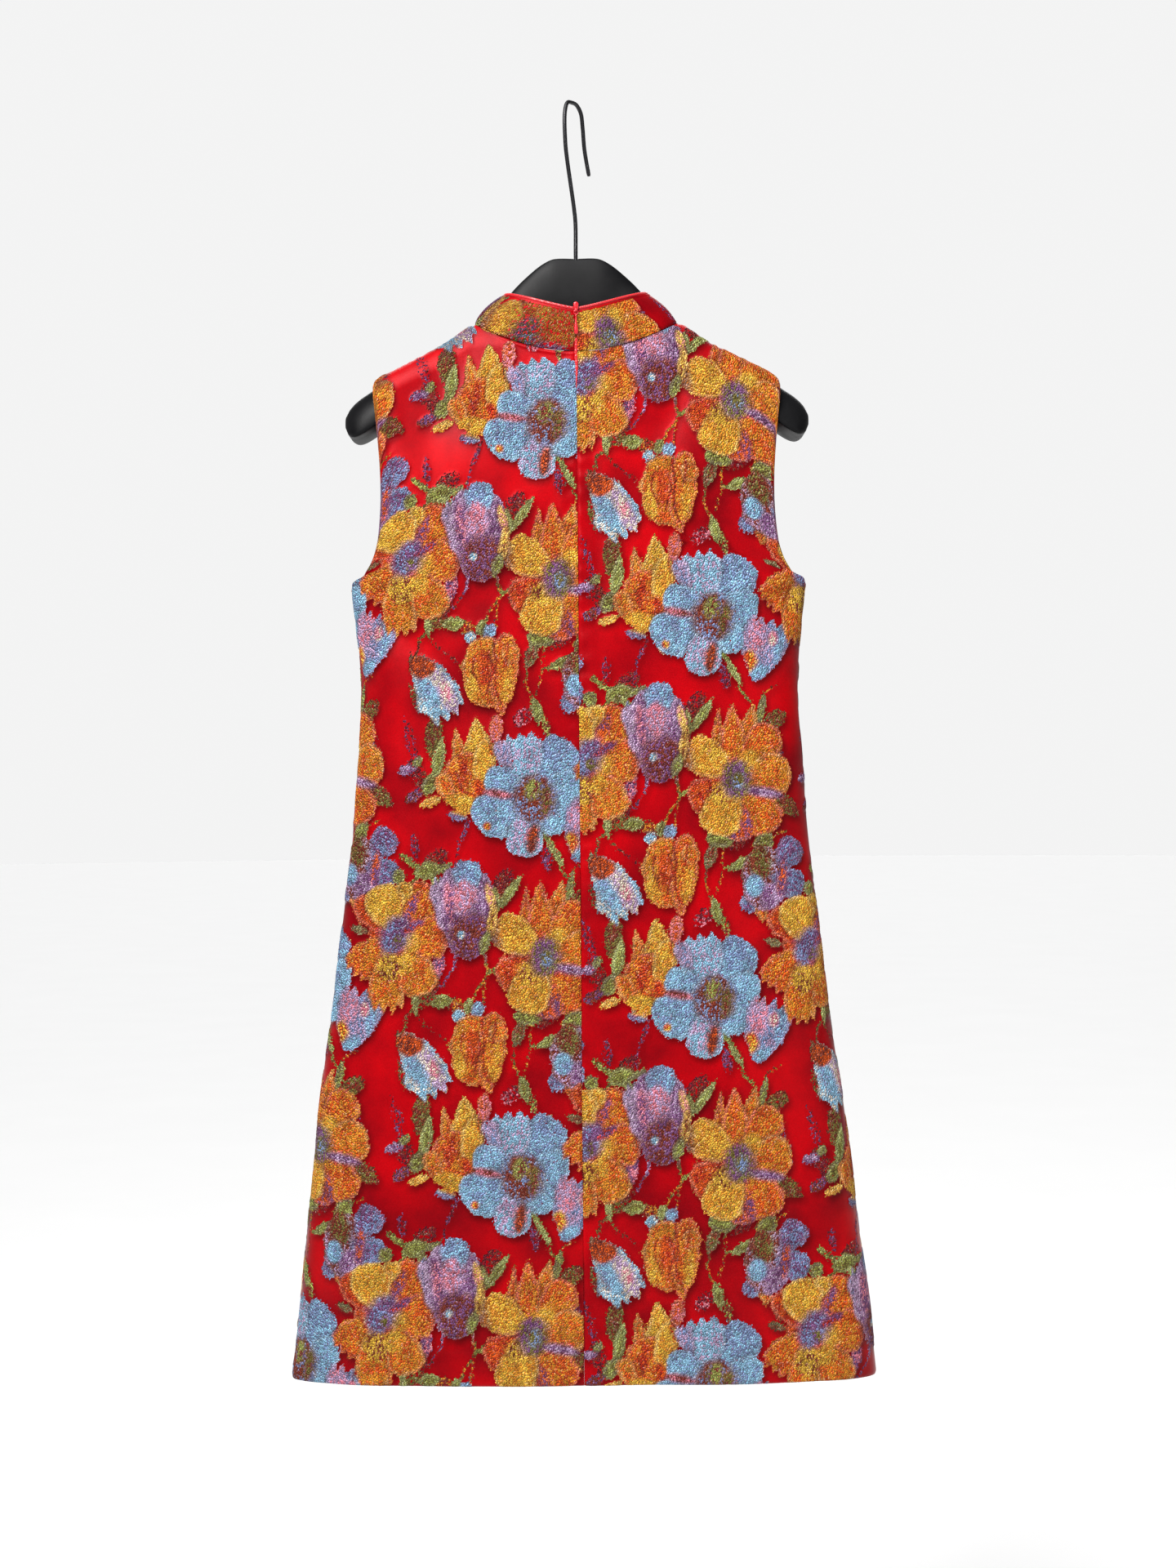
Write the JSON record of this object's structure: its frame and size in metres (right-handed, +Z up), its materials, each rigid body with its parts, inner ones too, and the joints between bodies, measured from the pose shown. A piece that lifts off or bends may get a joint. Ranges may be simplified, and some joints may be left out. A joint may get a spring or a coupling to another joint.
{
  "type": "cheongsam dress on a clothes hanger",
  "caption": "Sleeveless A-line cheongsam dress with a stand collar and a back zip, hanging on a broad-shouldered hanger whose wire hook swivels.",
  "frame": {"origin": "seat of the hanger's hook: the highest point inside its arch, on the swivel axis", "axes": "+Z up, +X toward the wearer's right arm, +Y toward the dress's front; the zipped back faces -Y"},
  "size_m": [0.5012, 0.0864, 1.0911],
  "materials": {
    "brocade": "satin ground with raised flowers in gold, orange, blue, plum and olive",
    "satin_trim": "plain red satin",
    "enamel": "red enamel",
    "hanger_plastic": "black, slightly glossy",
    "hook_wire": "black coated steel"
  },
  "bodies": {
    "dress": {"front_panel": "brocade", "back_panel_left": "brocade", "back_panel_right": "brocade", "collar": "brocade", "collar_piping": "satin_trim", "zip_tape": "satin_trim", "zip_slider": "enamel", "hanger": "hanger_plastic"},
    "zip_pull": {"zip_pull": "enamel"},
    "hook": {"hook": "hook_wire"}
  },
  "joints": [
    {"name": "pull_swing", "type": "hinge", "parent": "dress", "child": "zip_pull", "pos_m": [0, -0.0345, -0.1828], "axis": [-1, 0, 0], "range_deg": [0, 165]},
    {"name": "hook_swivel", "type": "hinge", "parent": "dress", "child": "hook", "pos_m": [0, 0, 0], "axis": [0, 0, 1], "continuous": true}
  ]
}
